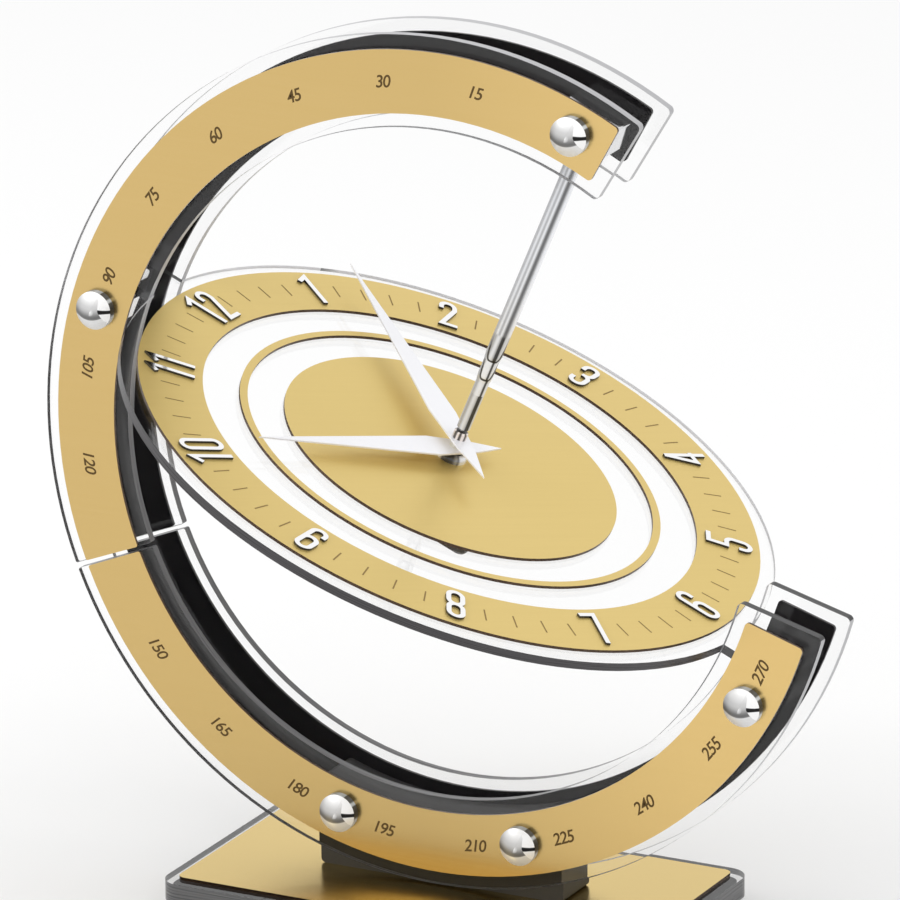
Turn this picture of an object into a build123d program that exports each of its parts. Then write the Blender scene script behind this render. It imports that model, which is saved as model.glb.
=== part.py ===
from build123d import *
from math import acos, atan2, cos, degrees, hypot, radians, sin, sqrt, tan
import os

# World time clock: a C-shaped meridian ring on a base, with a dial plate across it
# at the tilt of the earth's axis, and a rod that hangs from the ring along that axis.
# Millimetres, +Z up, the numbered face of the ring towards -Y.

os.makedirs("parts", exist_ok=True)

# Driving dimensions
axis_tilt = 23.4
ring_plate_inner_radius = 131.5
ring_plate_width = 35.5
ring_plate_thickness = 3.5
ring_plate_gap = 22.0
panel_margin = 5.5
panel_thickness = 1.2
ring_joint_angle = 135.0
ring_joint_width = 2.0
ring_end_angle = 278.0
ring_start_angle = -8.0
panel_end_inset = 6.0
plate_end_corner = 2.0
panel_corner = 1.6
joint_corner = 0.8

dial_thickness = 3.5
dial_panel_thickness = 1.2
hour_ring_margin = 6.5
hour_ring_width = 25.75
hour_ring_to_thin_ring = 14.75
thin_ring_width = 3.1
thin_ring_to_disc = 14.65

block_width = 12.0
block_height = 24.2
block_outward_shift = -0.3
block_corner = 0.8
lug_play = 0.15
lug_screw_radius = 1.5
lug_screw_head_radius = 3.0
lug_screw_length = 9.0

cap_radius = 7.5
cap_side_height = 3.0
cap_dome_height = 3.0
shank_radius = 2.5
shank_grip = 6.0
shank_clearance = 0.2
foot_screw_half_angle = 15.0
foot_screw_middle_angle = 202.5

base_length = 200.0
base_depth = 110.0
base_thickness = 8.0
base_corner = 9.0
base_panel_inset = 5.5
base_pad_thickness = 1.5
base_pad_inset = 3.0
ring_stand_off = 0.6
foot_half_length = 52.0
foot_top_margin = 9.5
foot_corner = 2.0
base_screw_radius = 2.5
base_screw_head_radius = 4.8
base_screw_length = 18.0
base_screw_half_spacing = 16.0

rod_lower_radius = 2.6
rod_middle_radius = 2.95
rod_upper_radius = 3.3
rod_wall = 0.3
rod_slip = 0.05
rod_end_height = 12.6
rod_lower_shoulder = 35.0
rod_middle_shoulder = 44.4
rod_lower_travel = 22.0
rod_middle_travel = 10.0
rod_spare = 6.0
rod_end_bevel = 0.9
rod_nose_length = 2.4
rod_thread_radius = 2.0
rod_thread_depth = 5.0
rod_plug_length = 8.0

digit_height = 19.0
digit_width = 7.4
digit_stroke = 1.95
digit_pitch = 8.9
narrow_digit_pitch = 7.6
numeral_thickness = 0.9

hand_thickness = 0.6
hour_hand_height = 4.2
minute_hand_height = 8.2
hour_hand_length = 88.0
hour_hand_tail = 21.0
hour_hand_half_width = 6.2
minute_hand_length = 120.6
minute_hand_tail = 27.0
minute_hand_half_width = 5.8
hour_hand_widest = 10.0
minute_hand_widest = 18.0
hand_waist_back = 8.0
hand_waist_half_width = 3.6
hand_collar_height = 0.7
hand_collar_wall = 1.1
hour_rest_angle = 302.7
minute_rest_angle = 39.0
hand_nut_radius = 2.8
hand_nut_height = 3.0
hand_nut_edge = 0.5

movement_beyond_battery = 7.5
movement_depth = 16.0
movement_corner = 3.0
movement_wall = 1.2
gasket_thickness = 0.5
gasket_half_side = 14.0
cover_thickness = 1.2
bushing_radius = 4.0
bushing_rise = 2.7
fixing_nut_radius = 6.0
fixing_nut_height = 3.0
fixing_nut_dome = 2.2
fit_play = 0.05
seat_play = 0.02
run_play = 0.06
side_play = 0.3

battery_radius = 7.25
battery_length = 48.5
battery_edge = 0.4
battery_nub_radius = 2.7
battery_nub_length = 2.0
battery_centre = -19.8
battery_bay_width = 14.8
battery_back = 0.75
bay_wall = 1.2
contact_thickness = 0.4
contact_side = 9.0
contact_dimple_radius = 3.0

centre_teeth = 40
cannon_teeth = 12
motion_teeth = 36
motion_pinion_teeth = 10
hour_teeth = 40
third_teeth = 48
third_pinion_teeth = 8
rotor_pinion_teeth = 8
knob_teeth = 12
train_module = 0.4
rotor_module = 0.25
motion_module = 0.35
pressure_angle = 20.0
addendum_share = 0.8
dedendum_share = 1.2
tooth_share = 0.42
third_direction = 150.0
rotor_direction = 150.0
motion_direction = 30.0
knob_direction = 20.0
wheel_thickness = 1.0
pinion_extra = 0.2
arbor_radius = 0.7
minute_arbor_radius = 1.25
minute_seat_radius = 0.9
hour_pipe_radius = 2.5
pivot_depth = 0.5
hour_layer = -8.4
motion_layer = -10.7
bridge_layer = -12.6
bridge_thickness = 1.0
third_layer = -14.6
centre_layer = -17.0
stator_layer = -17.4
stator_thickness = 0.8
magnet_radius = 2.4
magnet_height = 3.0
magnet_gap = 0.4
knob_radius = 5.0
knob_height = 2.6
knob_shaft_radius = 1.3
knob_flutes = 8
knob_flute_radius = 0.6
coil_radius = 2.8
coil_flange_radius = 3.3
coil_flange_thickness = 0.6
coil_length = 14.0
coil_row = 21.0
coil_centre = -10.0
core_half_length = 12.6
core_half_width = 1.8
stator_arm_width = 4.0
stator_foot_width = 7.0
stator_top = 23.0
stator_bottom = 5.0
board_length = 19.5
board_width = 14.0
board_thickness = 0.8
board_column = 13.1
board_row = 19.0
chip_radius = 3.2
chip_height = 1.0
crystal_radius = 1.0
crystal_length = 6.0
post_radius = 1.2
case_screw_radius = 1.0
case_screw_length = 6.0
case_screw_head_radius = 1.9
case_screw_head_height = 0.9
overrun = 1.0

# Places that follow from the sizes above
movement_side = battery_length + movement_beyond_battery
ring_plate_outer_radius = ring_plate_inner_radius + ring_plate_width
panel_inner_radius = ring_plate_inner_radius + panel_margin
panel_outer_radius = ring_plate_outer_radius - panel_margin
dial_radius = ring_plate_inner_radius
hour_ring_outer_radius = dial_radius - hour_ring_margin
hour_ring_inner_radius = hour_ring_outer_radius - hour_ring_width
thin_ring_outer_radius = hour_ring_inner_radius - hour_ring_to_thin_ring
thin_ring_inner_radius = thin_ring_outer_radius - thin_ring_width
inner_disc_radius = thin_ring_inner_radius - thin_ring_to_disc
numeral_radius = (hour_ring_outer_radius + hour_ring_inner_radius) / 2
base_top = base_pad_thickness + base_thickness + panel_thickness
ring_centre_height = base_top + ring_stand_off + ring_plate_outer_radius
ring_centre = Vector(0, 0, ring_centre_height)
rod_direction = Vector(sin(radians(axis_tilt)), 0, cos(radians(axis_tilt)))
three_direction = Vector(0, 1, 0)
twelve_direction = Vector(-cos(radians(axis_tilt)), 0, sin(radians(axis_tilt)))
inner_face = ring_plate_gap / 2
outer_face = inner_face + ring_plate_thickness
panel_face = outer_face + panel_thickness
panel_middle_radius = (panel_inner_radius + panel_outer_radius) / 2
block_radius = panel_middle_radius + block_outward_shift
foot_top_radius = ring_plate_inner_radius + foot_top_margin
dial_top = -dial_panel_thickness
dial_bottom = dial_top - dial_thickness
case_front = dial_bottom - gasket_thickness
case_back = case_front - movement_depth
cover_front = case_back + cover_thickness
block_centre_depth = dial_bottom - block_height / 2
lug_half_width = inner_face - lug_play
lug_end_radius = block_radius + block_width / 2
lug_screw_angle = degrees(atan2(-block_centre_depth, block_radius))
cap_line_radius = hypot(block_centre_depth, block_radius)
cap_angles = [
    0,
    90 + lug_screw_angle,
    foot_screw_middle_angle - foot_screw_half_angle,
    foot_screw_middle_angle + foot_screw_half_angle,
    270 - lug_screw_angle,
]
cap_radii = [block_radius, cap_line_radius, panel_middle_radius, panel_middle_radius, cap_line_radius]


def dial_plane(height, turn=0, right=0, up=0):
    """A plane across the rod axis, its x towards 3 o'clock and its y towards 12, turned about the axis."""
    across = three_direction * cos(radians(turn)) + twelve_direction * sin(radians(turn))
    origin = ring_centre + three_direction * right + twelve_direction * up + rod_direction * height
    return Plane(origin=origin, x_dir=across, z_dir=rod_direction)


def ring_plane(front):
    """A plane across the ring, front mm nearer the viewer, its x along the rod, its y towards 12 o'clock."""
    return Plane(origin=ring_centre + Vector(0, -front, 0), x_dir=rod_direction, z_dir=(0, -1, 0))


def polar(distance, angle, start=(0, 0)):
    """A place at a distance and an angle from another."""
    return (start[0] + distance * cos(radians(angle)), start[1] + distance * sin(radians(angle)))


def section_plane(origin, up, side):
    """A plane for a turned profile: its y runs along up and its x runs along side."""
    return Plane(origin=origin, x_dir=side, z_dir=side.cross(up))


def ring_point(radius, angle, front):
    """A point of the ring at an angle counted from the rod, seen from the front."""
    along = rod_direction * (radius * cos(radians(angle)))
    across = twelve_direction * (radius * sin(radians(angle)))
    return ring_centre + along + across + Vector(0, -front, 0)


def dial_axis(right=0, up=0):
    """The line along the rod that passes through a place on the dial."""
    return Axis(ring_centre + three_direction * right + twelve_direction * up, rod_direction)


def finish(name, builder):
    """Labels a finished piece and writes it."""
    builder.part.label = name
    export_step(builder.part, f"parts/{name}.step")


def cap_stations(low, high):
    """The angles and radii of the cap screws that lie between two ring angles."""
    return [(a, r) for a, r in zip(cap_angles, cap_radii) if low < a < high]


# The ring: two clear plates and two metal panels, each cut through at the joint angle
joint_half = degrees(ring_joint_width / 2 / panel_middle_radius)
panel_inset_angle = degrees(panel_end_inset / panel_middle_radius)
ring_spans = {
    "upper": (ring_start_angle, ring_joint_angle - joint_half),
    "lower": (ring_joint_angle + joint_half, ring_end_angle),
}


def arc_plate(plane, inner, outer, start, end, thickness, free_corner, free_end):
    """A flat band of the ring, with rounded free corners and a hole at each cap screw."""
    with BuildPart() as plate:
        with BuildSketch(plane) as outline:
            with BuildLine():
                outer_arc = CenterArc((0, 0), outer, start, end - start)
                inner_arc = CenterArc((0, 0), inner, start, end - start)
                Line(outer_arc @ 0, inner_arc @ 0)
                Line(outer_arc @ 1, inner_arc @ 1)
            make_face()
            joint_end = end if free_end == start else start
            for corner_angle, rounding in ((free_end, free_corner), (joint_end, joint_corner)):
                corner = plane.from_local_coords(polar(outer, corner_angle))
                fillet(outline.vertices().sort_by_distance(corner)[:2], rounding)
            for angle, radius in cap_stations(start, end):
                with PolarLocations(radius, 1, angle):
                    Circle(shank_radius + shank_clearance, mode=Mode.SUBTRACT)
        extrude(amount=thickness)
    return plate


for half, (start, end) in ring_spans.items():
    free_end = start if half == "upper" else end
    panel_start = start + panel_inset_angle if half == "upper" else start
    panel_end = end - panel_inset_angle if half == "lower" else end
    panel_free = panel_start if half == "upper" else panel_end
    plate_sizes = (ring_plate_inner_radius, ring_plate_outer_radius, start, end)
    panel_sizes = (panel_inner_radius, panel_outer_radius, panel_start, panel_end)
    front = arc_plate(ring_plane(inner_face), *plate_sizes, ring_plate_thickness, plate_end_corner, free_end)
    rear = arc_plate(ring_plane(-outer_face), *plate_sizes, ring_plate_thickness, plate_end_corner, free_end)
    gold = arc_plate(ring_plane(outer_face), *panel_sizes, panel_thickness, panel_corner, panel_free)
    black = arc_plate(ring_plane(-panel_face), *panel_sizes, panel_thickness, panel_corner, panel_free)
    finish(f"front_plate_{half}", front)
    finish(f"rear_plate_{half}", rear)
    finish(f"gold_panel_{half}", gold)
    finish(f"black_panel_{half}", black)


# Cap screws: a domed chrome head on a short shank, through panel and plate into a block
def cap_screw_profile():
    """Half the section of a cap screw, its head outside the panel and its shank behind it."""
    shank_length = panel_thickness + ring_plate_thickness + shank_grip
    top = cap_side_height + cap_dome_height
    with BuildLine() as outline:
        Polyline(
            (0, -shank_length),
            (shank_radius, -shank_length),
            (shank_radius, 0),
            (cap_radius, 0),
            (cap_radius, cap_side_height),
        )
        dome_radius = (cap_radius**2 + cap_dome_height**2) / (2 * cap_dome_height)
        RadiusArc((cap_radius, cap_side_height), (0, top), -dome_radius)
        Line((0, top), (0, -shank_length))
    make_face(outline.edges())


for name, side in (("cap_screws_front", 1), ("cap_screws_rear", -1)):
    with BuildPart() as screws:
        for angle, radius in zip(cap_angles, cap_radii):
            seat = ring_point(radius, angle, side * panel_face)
            outward = Vector(0, -side, 0)
            with BuildSketch(section_plane(seat, outward, rod_direction)):
                cap_screw_profile()
            revolve(axis=Axis(seat, outward))
    finish(name, screws)


# Blocks between the plates: one under each dial lug, one that holds the rod
lug_hole_depth = lug_screw_length - dial_thickness
for name, angle in (("lug_block_twelve", 90), ("lug_block_six", 270)):
    block_top = ring_point(block_radius, angle, 0) + rod_direction * dial_bottom
    block_middle = block_top - rod_direction * (block_height / 2)
    with BuildPart() as lug_block:
        rear = block_middle + Vector(0, inner_face, 0)
        with BuildSketch(Plane(origin=rear, x_dir=twelve_direction, z_dir=(0, -1, 0))):
            RectangleRounded(block_width, block_height, block_corner)
            Circle(shank_radius + fit_play, mode=Mode.SUBTRACT)
        extrude(amount=ring_plate_gap)
        with BuildSketch(Plane(origin=block_top, x_dir=three_direction, z_dir=rod_direction)):
            Circle(lug_screw_radius + fit_play)
        extrude(amount=-lug_hole_depth - fit_play, mode=Mode.SUBTRACT)
    finish(name, lug_block)

with BuildPart() as rod_block:
    rear = ring_point(block_radius, 0, -inner_face)
    with BuildSketch(Plane(origin=rear, x_dir=rod_direction, z_dir=(0, -1, 0))):
        RectangleRounded(block_width, block_height, block_corner)
    extrude(amount=ring_plate_gap)
    for face_front, inward in ((inner_face, Vector(0, 1, 0)), (-inner_face, Vector(0, -1, 0))):
        mouth = ring_point(block_radius, 0, face_front)
        with BuildSketch(Plane(origin=mouth, x_dir=rod_direction, z_dir=inward)):
            Circle(shank_radius + fit_play)
        extrude(amount=shank_grip + fit_play, mode=Mode.SUBTRACT)
    with BuildSketch(dial_plane(block_radius - block_width / 2)):
        Circle(rod_thread_radius + fit_play)
    extrude(amount=rod_thread_depth + fit_play, mode=Mode.SUBTRACT)
finish("rod_block", rod_block)

with BuildPart() as lug_screws:
    for angle in (90, 270):
        head = ring_point(block_radius, angle, 0) + rod_direction * dial_top
        taper = lug_screw_head_radius - lug_screw_radius
        with BuildSketch(section_plane(head, rod_direction, three_direction)):
            with BuildLine():
                Polyline(
                    (0, 0),
                    (lug_screw_head_radius, 0),
                    (lug_screw_radius, -taper),
                    (lug_screw_radius, -lug_screw_length),
                    (0, -lug_screw_length),
                    close=True,
                )
            make_face()
        revolve(axis=Axis(head, rod_direction))
finish("lug_screws", lug_screws)

# The dial: a clear disc with two lugs, and three gold pieces on it
with BuildPart() as dial_plate:
    with BuildSketch(dial_plane(dial_bottom)):
        Circle(dial_radius)
        Rectangle(2 * lug_half_width, 2 * lug_end_radius)
        Circle(bushing_radius + shank_clearance, mode=Mode.SUBTRACT)
    extrude(amount=dial_thickness)
    for up in (block_radius, -block_radius):
        taper = lug_screw_head_radius - lug_screw_radius
        lug_hole = lug_screw_radius + shank_clearance
        with BuildSketch(dial_plane(dial_top, up=up)):
            Circle(lug_screw_head_radius + fit_play)
        with BuildSketch(dial_plane(dial_top - taper, up=up)):
            Circle(lug_hole)
        loft(mode=Mode.SUBTRACT)
        with BuildSketch(dial_plane(dial_bottom, up=up)):
            Circle(lug_hole)
        extrude(amount=dial_thickness, mode=Mode.SUBTRACT)
finish("dial_plate", dial_plate)

dial_pieces = {
    "inner_disc": (inner_disc_radius, bushing_radius + shank_clearance),
    "thin_ring": (thin_ring_outer_radius, thin_ring_inner_radius),
    "hour_ring": (hour_ring_outer_radius, hour_ring_inner_radius),
}
for name, (outer, inner) in dial_pieces.items():
    with BuildPart() as dial_piece:
        with BuildSketch(dial_plane(dial_top)):
            Circle(outer)
            Circle(inner, mode=Mode.SUBTRACT)
        extrude(amount=dial_panel_thickness)
    finish(name, dial_piece)

# Numerals: condensed figures drawn with one pen width, cut from plate and stood on the hour ring
side_x = (digit_width - digit_stroke) / 2
top_y = (digit_height - digit_stroke) / 2
half_height = digit_height / 2
half_width = digit_width / 2
bowl_y = top_y - side_x
hook_share = 0.7
hook_y = bowl_y - side_x * hook_share
flag_share = 1.1
stem_share = 0.4
bar_share = 0.35
waist_share = 0.12


def closed_bowl(height, middle):
    """An upright closed loop of the pen width."""
    hole_height = height - 2 * digit_stroke
    hole_width = digit_width - 2 * digit_stroke
    with Locations((0, middle)):
        SlotOverall(height, digit_width, rotation=90)
        SlotOverall(hole_height, hole_width, rotation=90, mode=Mode.SUBTRACT)


def figure_one():
    stem = side_x * stem_share
    with BuildLine() as pen:
        Polyline((-side_x, top_y - side_x * flag_share), (stem, top_y), (stem, -half_height))
    trace(pen.edges(), line_width=digit_stroke)


def figure_two():
    with BuildLine() as pen:
        Line((-side_x, hook_y), (-side_x, bowl_y))
        CenterArc((0, bowl_y), side_x, 180, -180)
        Line((side_x, bowl_y), (side_x, hook_y))
        Line((side_x, hook_y), (-side_x, -top_y))
        Line((-side_x, -top_y), (half_width, -top_y))
    trace(pen.edges(), line_width=digit_stroke)


def figure_three():
    for up in (1, -1):
        with BuildLine() as pen:
            Line((-side_x, up * hook_y), (-side_x, up * bowl_y))
            CenterArc((0, up * bowl_y), side_x, 180, -180 * up)
            Line((side_x, up * bowl_y), (side_x, up * side_x))
            CenterArc((0, up * side_x), side_x, 0, -90 * up)
            Line((0, 0), (-side_x * bar_share, 0))
        trace(pen.edges(), line_width=digit_stroke)


def figure_four():
    stem = side_x * stem_share * 2
    bar = -half_height * bar_share
    with BuildLine() as pen:
        Polyline((stem, half_height), (-side_x, bar), (half_width, bar))
    trace(pen.edges(), line_width=digit_stroke)
    with BuildLine() as pen:
        Line((stem, half_height), (stem, -half_height))
    trace(pen.edges(), line_width=digit_stroke)


def figure_five():
    waist = half_height * waist_share
    with BuildLine() as pen:
        Polyline((half_width, top_y), (-side_x, top_y), (-side_x, waist), (0, waist))
        CenterArc((0, waist - side_x), side_x, 90, -90)
        Line((side_x, waist - side_x), (side_x, -bowl_y))
        CenterArc((0, -bowl_y), side_x, 0, -180)
        Line((-side_x, -bowl_y), (-side_x, -hook_y))
    trace(pen.edges(), line_width=digit_stroke)


def figure_six(flip=1):
    loop = half_height + digit_stroke
    with BuildLine() as pen:
        Line((-side_x * flip, -bowl_y * flip), (-side_x * flip, bowl_y * flip))
        CenterArc((0, bowl_y * flip), side_x, 180 if flip == 1 else 0, -180)
        Line((side_x * flip, bowl_y * flip), (side_x * flip, hook_y * flip))
    trace(pen.edges(), line_width=digit_stroke)
    closed_bowl(loop, flip * (loop / 2 - half_height))


def figure_seven():
    with BuildLine() as pen:
        Polyline((-half_width, top_y), (side_x, top_y), (-side_x * stem_share, -half_height))
    trace(pen.edges(), line_width=digit_stroke)


def figure_nine():
    figure_six(-1)


def figure_eight():
    loop = half_height + digit_stroke / 2
    closed_bowl(loop, half_height - loop / 2)
    closed_bowl(loop, loop / 2 - half_height)


def figure_zero():
    closed_bowl(digit_height, 0)


figures = {
    "0": figure_zero,
    "1": figure_one,
    "2": figure_two,
    "3": figure_three,
    "4": figure_four,
    "5": figure_five,
    "6": figure_six,
    "7": figure_seven,
    "8": figure_eight,
    "9": figure_nine,
}


def numeral_plane(hour, along):
    """The plane of one figure, upright on the outer side from nine to three and turned inward below."""
    turn = -30 * hour
    right = numeral_radius * sin(radians(30 * hour))
    up = numeral_radius * cos(radians(30 * hour))
    if 4 <= hour <= 8:
        turn = turn + 180
    right = right + along * cos(radians(turn))
    up = up + along * sin(radians(turn))
    return dial_plane(0, turn, right, up)


for hour in range(1, 13):
    text = str(hour)
    pitch = narrow_digit_pitch if text == "11" else digit_pitch
    with BuildPart() as numeral:
        for place, figure in enumerate(text):
            along = pitch * (place - (len(text) - 1) / 2)
            with BuildSketch(numeral_plane(hour, along)):
                figures[figure]()
            extrude(amount=numeral_thickness)
    finish(f"numeral_{hour:02d}", numeral)

# The rod: three chromed tubes that slide in one another, hung from the rod block
rod_top = block_radius - block_width / 2


def rod_tube(radius, bottom, top, bore, closed_bottom=0):
    """A tube with a bevelled end, or a long tapered one where it is open."""
    with BuildPart() as tube:
        with BuildSketch(dial_plane(bottom)):
            Circle(radius)
        extrude(amount=top - bottom)
        lower_edge = tube.faces().sort_by(dial_axis())[0].edges()
        if closed_bottom:
            chamfer(lower_edge, rod_end_bevel)
        else:
            side = tube.faces().sort_by(SortBy.AREA)[-1]
            chamfer(lower_edge, rod_nose_length, radius - bore - fit_play, reference=side)
        with BuildSketch(dial_plane(bottom + closed_bottom)):
            Circle(bore)
        extrude(amount=top - bottom, mode=Mode.SUBTRACT)
    return tube


lower_bore = rod_lower_radius - rod_wall
middle_bore = rod_lower_radius + rod_slip
upper_bore = rod_middle_radius + rod_slip
rod_middle_top = rod_top - rod_plug_length - rod_middle_travel - rod_spare
rod_lower_top = rod_middle_top - rod_lower_travel - rod_spare
lower_tube = rod_tube(rod_lower_radius, rod_end_height, rod_lower_top, lower_bore, rod_plug_length)
finish("rod_lower", lower_tube)
middle_tube = rod_tube(rod_middle_radius, rod_lower_shoulder, rod_middle_top, middle_bore)
finish("rod_middle", middle_tube)

with BuildPart() as rod_upper:
    with BuildSketch(dial_plane(rod_middle_shoulder)):
        Circle(rod_upper_radius)
        Circle(upper_bore, mode=Mode.SUBTRACT)
    extrude(amount=rod_top - rod_plug_length - rod_middle_shoulder)
    lower_edge = rod_upper.faces().sort_by(dial_axis())[0].edges().sort_by(SortBy.LENGTH)[-1]
    side = rod_upper.faces().sort_by(SortBy.AREA)[-1]
    chamfer(lower_edge, rod_nose_length, rod_upper_radius - upper_bore - fit_play, reference=side)
    with BuildSketch(dial_plane(rod_top - rod_plug_length)):
        Circle(rod_upper_radius)
    extrude(amount=rod_plug_length)
    with BuildSketch(dial_plane(rod_top)):
        Circle(rod_thread_radius)
    extrude(amount=rod_thread_depth)
finish("rod_upper", rod_upper)


# Hands: flat lance shapes, each with a collar that grips its arbor
def hand(length, tail, half, widest, height, turn_from_twelve, bore):
    """A lance with a pointed tail, and a collar below it."""
    direction = 90 - turn_from_twelve
    with BuildPart() as blade:
        with BuildSketch(dial_plane(height, direction)):
            with BuildLine():
                Polyline(
                    (length, 0),
                    (widest, half),
                    (-hand_waist_back, hand_waist_half_width),
                    (-tail, 0),
                    (-hand_waist_back, -hand_waist_half_width),
                    (widest, -half),
                    close=True,
                )
            make_face()
            Circle(bore + hand_collar_wall)
        extrude(amount=hand_thickness)
        with BuildSketch(dial_plane(height)):
            Circle(bore + hand_collar_wall)
        extrude(amount=-hand_collar_height)
        with BuildSketch(dial_plane(height - hand_collar_height)):
            Circle(bore)
        extrude(amount=hand_collar_height + hand_thickness, mode=Mode.SUBTRACT)
    return blade


hour_sizes = (hour_hand_length, hour_hand_tail, hour_hand_half_width, hour_hand_widest)
minute_sizes = (minute_hand_length, minute_hand_tail, minute_hand_half_width, minute_hand_widest)
hour_blade = hand(*hour_sizes, hour_hand_height, hour_rest_angle, hour_pipe_radius + seat_play)
finish("hour_hand", hour_blade)
minute_blade = hand(*minute_sizes, minute_hand_height, minute_rest_angle, minute_seat_radius + seat_play)
finish("minute_hand", minute_blade)

minute_hand_top = minute_hand_height + hand_thickness
with BuildPart() as hand_nut:
    with BuildSketch(dial_plane(minute_hand_top)):
        Circle(hand_nut_radius)
    extrude(amount=hand_nut_height)
    chamfer(hand_nut.faces().sort_by(dial_axis())[-1].edges(), hand_nut_edge)
    with BuildSketch(dial_plane(minute_hand_top)):
        Circle(minute_seat_radius + seat_play)
    extrude(amount=hand_nut_height - hand_nut_edge, mode=Mode.SUBTRACT)
finish("hand_nut", hand_nut)

# Fixing nut above the dial and soft gasket below it
with BuildPart() as fixing_nut:
    with BuildSketch(dial_plane(0)):
        Circle(fixing_nut_radius)
    extrude(amount=fixing_nut_height)
    fillet(fixing_nut.faces().sort_by(dial_axis())[-1].edges(), fixing_nut_dome)
    with BuildSketch(dial_plane(0)):
        Circle(bushing_radius + fit_play)
    extrude(amount=fixing_nut_height, mode=Mode.SUBTRACT)
finish("fixing_nut", fixing_nut)

with BuildPart() as gasket:
    with BuildSketch(dial_plane(case_front)):
        RectangleRounded(2 * gasket_half_side, 2 * gasket_half_side, movement_corner)
        Circle(bushing_radius + shank_clearance, mode=Mode.SUBTRACT)
    extrude(amount=gasket_thickness)
finish("gasket", gasket)


# The gear train: places of the arbors on the dial
third_place = polar(train_module * (centre_teeth + third_pinion_teeth) / 2, third_direction)
rotor_place = polar(rotor_module * (third_teeth + rotor_pinion_teeth) / 2, rotor_direction, third_place)
motion_distance = motion_module * (cannon_teeth + motion_teeth) / 2
motion_place = polar(motion_distance, motion_direction)
knob_place = polar(motion_module * (motion_teeth + knob_teeth) / 2, knob_direction, motion_place)
hour_module = 2 * motion_distance / (motion_pinion_teeth + hour_teeth)


def mesh_phase(phase, teeth, next_teeth, direction):
    """The turn of a gear, in degrees, that puts its gap where its neighbour has a tooth."""
    return direction + 180 - (phase - direction) * teeth / next_teeth + 180 / next_teeth


def involute(angle):
    """The involute of an angle in radians, in degrees."""
    return degrees(tan(angle) - angle)


def gear_outline(module, teeth, phase):
    """The outline of an involute gear with some play between its teeth."""
    pitch_radius = module * teeth / 2
    base_radius = pitch_radius * cos(radians(pressure_angle))
    tip_radius = pitch_radius + addendum_share * module
    root_radius = pitch_radius - dedendum_share * module
    half_tooth = tooth_share * 180 / teeth
    flank_radii = [max(base_radius, root_radius), tip_radius]
    points = []
    for tooth in range(teeth):
        middle = phase + tooth * 360 / teeth
        flank = []
        for radius in flank_radii:
            roll = involute(acos(min(1, base_radius / radius)))
            spread = half_tooth + involute(radians(pressure_angle)) - roll
            flank.append((radius, spread))
        root = [(root_radius, flank[0][1])] if root_radius < base_radius else []
        half_flank = root + flank
        points += [polar(radius, middle - spread) for radius, spread in half_flank]
        points += [polar(radius, middle + spread) for radius, spread in reversed(half_flank)]
    with BuildLine() as outline:
        Polyline(*points, close=True)
    make_face(outline.edges())


def add_gear(module, teeth, phase, layer, thickness, place=(0, 0)):
    """Adds a toothed disc to the piece being built."""
    with BuildSketch(dial_plane(layer, 0, *place)) as disc:
        gear_outline(module, teeth, phase)
    extrude(disc.sketch, amount=thickness)


def add_rod(radius, low, high, place=(0, 0), mode=Mode.ADD):
    """Adds or cuts a round bar along the rod's direction."""
    with BuildSketch(dial_plane(low, 0, *place)) as section:
        Circle(radius)
    extrude(section.sketch, amount=high - low, mode=mode)


pinion_thickness = wheel_thickness + 2 * pinion_extra
motion_phase = mesh_phase(0, cannon_teeth, motion_teeth, motion_direction)
with BuildPart() as minute_arbor:
    add_gear(train_module, centre_teeth, 0, centre_layer, wheel_thickness)
    add_gear(motion_module, cannon_teeth, 0, motion_layer - pinion_extra, pinion_thickness)
    add_rod(arbor_radius, cover_front - pivot_depth, centre_layer)
    seat_height = minute_hand_height - hand_collar_height
    add_rod(minute_arbor_radius, centre_layer, seat_height)
    add_rod(minute_seat_radius, seat_height, minute_hand_top + hand_nut_height - 2 * hand_nut_edge)
finish("minute_arbor", minute_arbor)

with BuildPart() as hour_wheel:
    hour_phase = mesh_phase(0, motion_pinion_teeth, hour_teeth, motion_direction + 180)
    add_gear(hour_module, hour_teeth, hour_phase, hour_layer, wheel_thickness)
    add_rod(hour_pipe_radius, hour_layer, hour_hand_height + hand_thickness)
    pipe_bore = minute_arbor_radius + run_play
    add_rod(pipe_bore, hour_layer - overrun, minute_hand_height, mode=Mode.SUBTRACT)
finish("hour_wheel", hour_wheel)

with BuildPart() as motion_wheel:
    add_gear(motion_module, motion_teeth, motion_phase, motion_layer, wheel_thickness, motion_place)
    pinion_bottom = motion_layer + wheel_thickness
    pinion_top = hour_layer + wheel_thickness + pinion_extra
    add_gear(hour_module, motion_pinion_teeth, 0, pinion_bottom, pinion_top - pinion_bottom, motion_place)
    add_rod(arbor_radius, bridge_layer, case_front - movement_wall + pivot_depth, motion_place)
finish("motion_wheel", motion_wheel)

with BuildPart() as third_wheel:
    third_phase = mesh_phase(0, centre_teeth, third_pinion_teeth, third_direction)
    add_gear(rotor_module, third_teeth, 0, third_layer, wheel_thickness, third_place)
    pinion_low = centre_layer - pinion_extra
    pinion_length = third_layer - pinion_low
    add_gear(train_module, third_pinion_teeth, third_phase, pinion_low, pinion_length, third_place)
    add_rod(arbor_radius, cover_front - pivot_depth, bridge_layer + bridge_thickness, third_place)
finish("third_wheel", third_wheel)

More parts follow.
